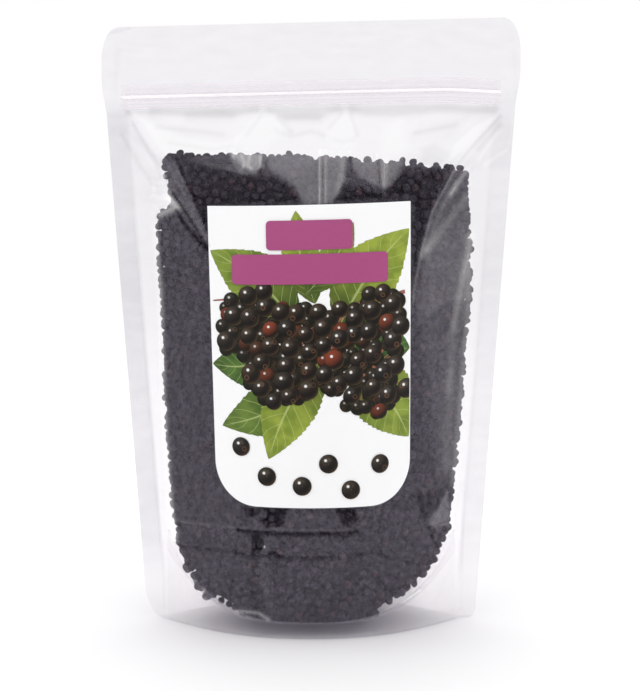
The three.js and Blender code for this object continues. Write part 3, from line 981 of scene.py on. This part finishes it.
def collage(name, shapes, material):
    points, faces, motif, bake, tones, depths = [], [], [], [], [], []
    start, side = 0, math.ceil(math.sqrt(len(shapes)))
    for i, shape in enumerate(shapes):
        rows, columns = shape["s"].shape
        t = np.clip(shape["t"], MARGIN, LABEL_HEIGHT - MARGIN)
        s = np.clip(shape["s"], MARGIN - label_half(t), label_half(t) - MARGIN)
        points.append(np.stack(label_spot(s, t, shape["lift"]), -1).reshape(-1, 3))
        faces.append(grid_faces(rows, columns) + start)
        motif.append(np.stack([shape["u"], shape["v"]], -1).reshape(-1, 2))
        bake.append((np.array([i % side, i // side]) + 0.04 + 0.92 * motif[-1]) / side)
        tones.append(np.full(rows * columns, shape["tone"]))
        depths.append(np.full(rows * columns, shape.get("depth", 1.0)))
        start += rows * columns
    mesh = mesh_from(name, np.concatenate(points), np.concatenate(faces).tolist())
    set_uv(mesh, np.concatenate(bake))
    set_uv(mesh, np.concatenate(motif), "motif")
    set_number(mesh, "tone", np.concatenate(tones))
    set_number(mesh, "depth", np.concatenate(depths))
    add_object(mesh, material)


# %% Shapes of the collage
def leaf_shape(base, tip, width, bend, tone, lift):
    u, v = np.meshgrid(np.linspace(0, 1, 73), np.linspace(-1, 1, 11))
    along, length = np.array(tip) - np.array(base), math.dist(base, tip)
    across = np.array([-along[1], along[0]]) / length
    teeth = 1 + 0.07 * (1 - np.mod(u * 17, 1)) * np.abs(v)
    half = width / 2 * np.sin(np.pi * u**0.85) ** 0.9 * teeth + 0.05
    middle = bend * np.sin(np.pi * u)
    s = base[0] + along[0] * u + across[0] * (middle + half * v)
    t = base[1] + along[1] * u + across[1] * (middle + half * v)
    return {"s": s, "t": t, "u": u, "v": (v + 1) / 2, "tone": tone, "lift": lift}


def stalk_shape(points, width, lift):
    points = np.array(points, dtype=float)
    share = np.linspace(0, 1, 24)
    control = np.linspace(0, 1, len(points))
    s, t = (np.interp(share, control, points[:, i]) for i in (0, 1))
    s, t = (np.convolve(np.pad(line, 3, mode="edge"), np.ones(7) / 7, "valid") for line in (s, t))
    ds, dt = np.gradient(s), np.gradient(t)
    norm = np.hypot(ds, dt) + 1e-9
    taper = width / 2 * (1 - 0.45 * share)
    rows = [(s - dt / norm * taper * k, t + ds / norm * taper * k) for k in (-1, -0.5, 0, 0.5, 1)]
    v = np.linspace(0, 1, 5)[:, None] + np.zeros((5, 24))
    s, t = (np.array([row[i] for row in rows]) for i in (0, 1))
    return {"s": s, "t": t, "u": share + np.zeros((5, 24)), "v": v, "tone": 0.0, "lift": lift}


def ball_shape(centre, radius, tone, lift, depth):
    ring = np.array([0.02, 0.3, 0.55, 0.75, 0.9, 1.0])[:, None]
    angle = np.linspace(0, -2 * np.pi, 21)[None, :]
    x, y = ring * np.cos(angle), ring * np.sin(angle)
    shape = {"s": centre[0] + radius * x, "t": centre[1] + radius * y, "u": (x + 1) / 2, "v": (y + 1) / 2}
    return {**shape, "tone": tone, "lift": lift, "depth": depth}


# %% Inks of the collage
def motif_numbers(look):
    spot = look.node("UVMap", {"uv_map": "motif"}, output="UV")
    u = look.node("SeparateXYZ", {}, {"Vector": spot})
    return u, u.sibling(1)


LEAF_GREENS = (0.34, 0.41, 0.055), (0.05, 0.135, 0.028)
LEAF_SHADES = (0.20, 0.27, 0.03), (0.018, 0.066, 0.015)
LEAF_BASE, LEAF_VEIN = (0.018, 0.040, 0.008), (0.62, 0.70, 0.28)


def make_leaf_ink():
    look = Look("leaf_ink")
    u, v = motif_numbers(look)
    side = (v * 2 - 1).sum("ABSOLUTE")
    tone = look.attribute("tone")
    veins = ((u * 9 - side * 1.6).sum("FRACT") - 0.5).sum("ABSOLUTE").step(0.46, 0.5)
    rib = 1 - side.step(0.0, 0.07)
    cloud = look.noise(7.0).step(0.3, 0.7)
    body = look.mix(cloud, look.mix(tone, *LEAF_GREENS), look.mix(tone, *LEAF_SHADES))
    body = look.mix(0.75 * (1 - u.step(0.12, 0.62)), body, LEAF_BASE)
    look.set(Base_Color=look.mix(0.5 * veins.high(rib), body, LEAF_VEIN))
    look.set(Roughness=0.38, Specular_IOR_Level=0.25)
    return look.material


def make_stalk_ink():
    look = Look("stalk_ink")
    across = motif_numbers(look)[1] * 2 - 1
    look.set(Base_Color=look.mix(across**2.0, (0.36, 0.12, 0.075), (0.13, 0.035, 0.025)), Roughness=0.38)
    return look.material


def make_ball_ink():
    look = Look("fruit_ink")
    u, v = motif_numbers(look)
    tone, depth = look.attribute("tone"), look.attribute("depth")
    x, y = u * 2 - 1, v * 2 - 1
    height = (1 - x * x - y * y).high(0.0) ** 0.5
    light = (height * 0.55 - x * 0.45 + y * 0.62).high(0.0)
    rim = (x * 0.55 - y * 0.6).high(0.0) * (1 - height) ** 1.5
    glint = 1 - ((x + 0.30) ** 2.0 + (y - 0.36) ** 2.0).step(0.002, 0.04)
    sheen = 1 - ((x + 0.18) ** 2.0 * 0.8 + (y - 0.42) ** 2.0 * 2.2).step(0.02, 0.30)
    crown_x = x - 0.5 * (tone * 40).sum("SINE")
    crown_y = y + 0.5 * (tone * 57).sum("COSINE")
    crown = crown_x * crown_x + crown_y * crown_y + 0.05 * (look.noise(0.9) - 0.5)
    ring = crown.step(0.01, 0.03) * (1 - crown.step(0.05, 0.11))
    lit = look.mix(tone, (0.040, 0.035, 0.030), (0.070, 0.046, 0.028))
    skin = look.mix(light**1.8, (0.004, 0.003, 0.003), lit)
    skin = look.mix(0.5 * sheen * look.noise(2.4).step(0.3, 0.7), skin, (0.13, 0.11, 0.09))
    skin = look.mix(0.8 * rim, skin, (0.16, 0.10, 0.05))
    skin = look.mix(tone.step(0.90, 0.95) * light, skin, (0.24, 0.045, 0.02))
    some = (tone * 23).sum("SINE").step(-0.5, 0.8)
    skin = look.mix(0.5 * ring * some, skin, (0.17, 0.085, 0.045))
    skin = look.mix(glint, skin, (0.86, 0.85, 0.83))
    look.set(Base_Color=look.mix(0.35 + 0.65 * depth, (0.010, 0.010, 0.004), skin))
    look.set(Roughness=0.36, Specular_IOR_Level=0.2)
    return look.material


# %% The leaves and stalks
leaf_ink, stalk_ink, ball_ink = make_leaf_ink(), make_stalk_ink(), make_ball_ink()
# Each leaf is its base, its tip, its width, its bend and its tone.
LEAVES = [
    ((12, 80), (45.5, 124), 28, 3, 0.05),
    ((-6, 82), (-45.5, 116), 26, -4, 0.40),
    ((-14, 72), (-46, 64), 20, 4, 0.85),
    ((6, 66), (-42, 36), 27, 6, 0.70),
    ((4, 66), (-20, 22), 24, -3, 0.12),
    ((18, 60), (45.5, 30), 28, 4, 0.30),
    ((16, 78), (46, 70), 27, -3, 0.95),
    ((2, 92), (-6, 134), 17, 2, 0.08),
    ((-2, 96), (20, 128), 15, -2, 0.22),
]
HUBS = [((-26, 82), 19.0), ((3, 72), 22.0), ((27, 58), 19.0), ((-15, 58), 14.0), ((31, 84), 13.5)]
leaves = [leaf_shape(*leaf, LEAF_LIFT + 0.012 * i) for i, leaf in enumerate(LEAVES)]
STALKS = [
    ([(46, 96), (24, 92), (4, 86), (-25, 88)], 1.7),
    ([(24, 93), (12, 84), (4, 72)], 1.4),
    ([(34, 95), (36, 78), (28, 60)], 1.4),
    ([(2, 86), (-10, 76), (-15, 60)], 1.3),
    ([(-18, 87), (-36, 94), (-45.5, 93)], 1.1),
]
stalks = [stalk_shape(points, width, STALK_LIFT) for points, width in STALKS]


# %% The berries of the picture
def layer(spacing, seed, smallest, largest, depth):
    chance = random.Random(seed)
    found = []
    for s, t in scattered(92, 82, spacing, seed):
        s, t = s - 46, t + 32
        if abs(s) > 41 + 3.5 * depth:
            continue
        for (hub_s, hub_t), radius in HUBS:
            if math.hypot(s - hub_s, (t - hub_t) * 1.12) < radius:
                bend = ((s + hub_s) / 2, (t + hub_t) / 2 + 2)
                stalks.append(stalk_shape([(hub_s, hub_t + 2), bend, (s, t)], 0.65, TWIG_LIFT))
                found.append((s, t, chance.uniform(smallest, largest), chance.random(), depth))
                break
    chance.shuffle(found)
    return found


LOOSE = [(-33, 27), (-21, 14), (-5, 10), (7, 20), (17, 8), (31, 19)]
fruit = layer(4.6, 9, 2.9, 3.6, 0.12) + layer(5.4, 5, 3.3, 4.0, 0.5) + layer(6.9, 6, 3.7, 4.6, 1.0)
fruit += [(s, t, 4.3, 0.13 * i + 0.02, 1.0) for i, (s, t) in enumerate(LOOSE)]
balls = [
    ball_shape((s, t), radius, tone, FRUIT_LIFT + 0.0007 * i, depth)
    for i, (s, t, radius, tone, depth) in enumerate(fruit)
]
collage("label_leaves", leaves, leaf_ink)
collage("label_stalks", stalks, stalk_ink)
collage("label_fruit", balls, ball_ink)

# %% [markdown]
# Two plain bars in a warm magenta cross the picture.

# %% Bars
BAR_CORNER = 1.9


def make_bar_ink():
    look = Look("magenta_ink")
    look.set(Base_Color=look.mix(look.noise(1.5), (0.37, 0.058, 0.19), (0.395, 0.068, 0.21)), Roughness=0.36)
    return look.material


def make_bar(name, middle_t, width, height, material):
    ends = corner_rows(BAR_CORNER, 8)
    h = np.concatenate([ends, np.linspace(BAR_CORNER, height - BAR_CORNER, 10)[1:-1], height - ends[::-1]])
    half = rounded_half(width, BAR_CORNER, np.minimum(h, height - h))
    s = half[:, None] * np.linspace(-1, 1, 50)
    t = middle_t - height / 2 + h[:, None] + 0 * s
    on_label(name, s, t, BAR_LIFT, material)


bar_ink = make_bar_ink()
make_bar("label_bar_upper", LABEL_HEIGHT - 13.6, 39.0, 13.4, bar_ink)
make_bar("label_bar_lower", LABEL_HEIGHT - 29.0, 71.0, 13.6, bar_ink)

# %% [markdown]
# ## The studio
# The pouch stands on a white floor in soft white light, as in a shop's picture. The light comes from
# all round, a little more of it from above, with a darker gap where the camera would stand. One broad
# lamp behind and above the pouch draws its soft shadow towards the front.

# %% Floor and light
FLOOR_DARK, FLOOR_PALE = (0.888, 0.877, 0.888), (0.902, 0.893, 0.902)
ROOM_LIGHT, LIGHT_ABOVE, CAMERA_GAP = 1.06, 0.30, 0.62


def make_floor():
    look = Look("studio_floor")
    look.set(Base_Color=look.mix(look.noise(900.0), FLOOR_DARK, FLOOR_PALE), Roughness=0.7)
    spot = look.node("TexCoord", output="Object")
    far = look.node("VectorMath", {"operation": "LENGTH"}, {0: spot}, output="Value").step(0.30, 1.3)
    glow = look.node("Emission", {}, {"Color": (1, 1, 1, 1), "Strength": 1.0})
    look.blend(far, look.surface, glow)
    mesh = bpy.data.meshes.new("floor")
    mesh.from_pydata([(-4, -4, 0), (4, -4, 0), (4, 4, 0), (-4, 4, 0)], [], [(0, 1, 2, 3)])
    floor = bpy.data.objects.new("floor", mesh)
    floor.location.z = -0.0002
    mesh.materials.append(look.material)
    bpy.context.collection.objects.link(floor)


def make_world():
    world = bpy.data.worlds.new("studio")
    world.use_nodes = True
    bpy.context.scene.world = world
    sky = Nodes(world.node_tree)
    way = sky.node("TexCoord", output="Generated")
    parts = sky.node("SeparateXYZ", {}, {"Vector": way})
    ahead, up = parts.sibling(1), parts.sibling(2)
    gap = (0.0 - ahead).step(0.62, 0.92) * (1 - up.step(0.30, 0.60))
    light = ROOM_LIGHT + LIGHT_ABOVE * up.step(0.45, 0.8) - CAMERA_GAP * gap
    seen = sky.node("LightPath", output="Is Camera Ray")
    background = sky.tree.nodes["Background"].inputs
    sky.join(seen + (1 - seen) * light, background["Strength"])
    sky.join((1, 1, 1, 1), background["Color"])


def make_lamp(name, place, aim, size, energy):
    data = bpy.data.lights.new(name, "AREA")
    data.shape, data.size, data.size_y, data.energy = "RECTANGLE", size[0], size[1], energy
    lamp = bpy.data.objects.new(name, data)
    lamp.location = place
    direction = Vector(np.array(aim) - np.array(place))
    lamp.rotation_euler = direction.to_track_quat("-Z", "Y").to_euler()
    bpy.context.collection.objects.link(lamp)


make_floor()
make_world()
make_lamp("window", (-0.15, 0.9, 1.5), (0, 0, 0.1), (1.0, 0.6), 2.3)
bpy.context.scene.view_settings.view_transform = "Standard"
bpy.context.scene.cycles.transparent_max_bounces = 32
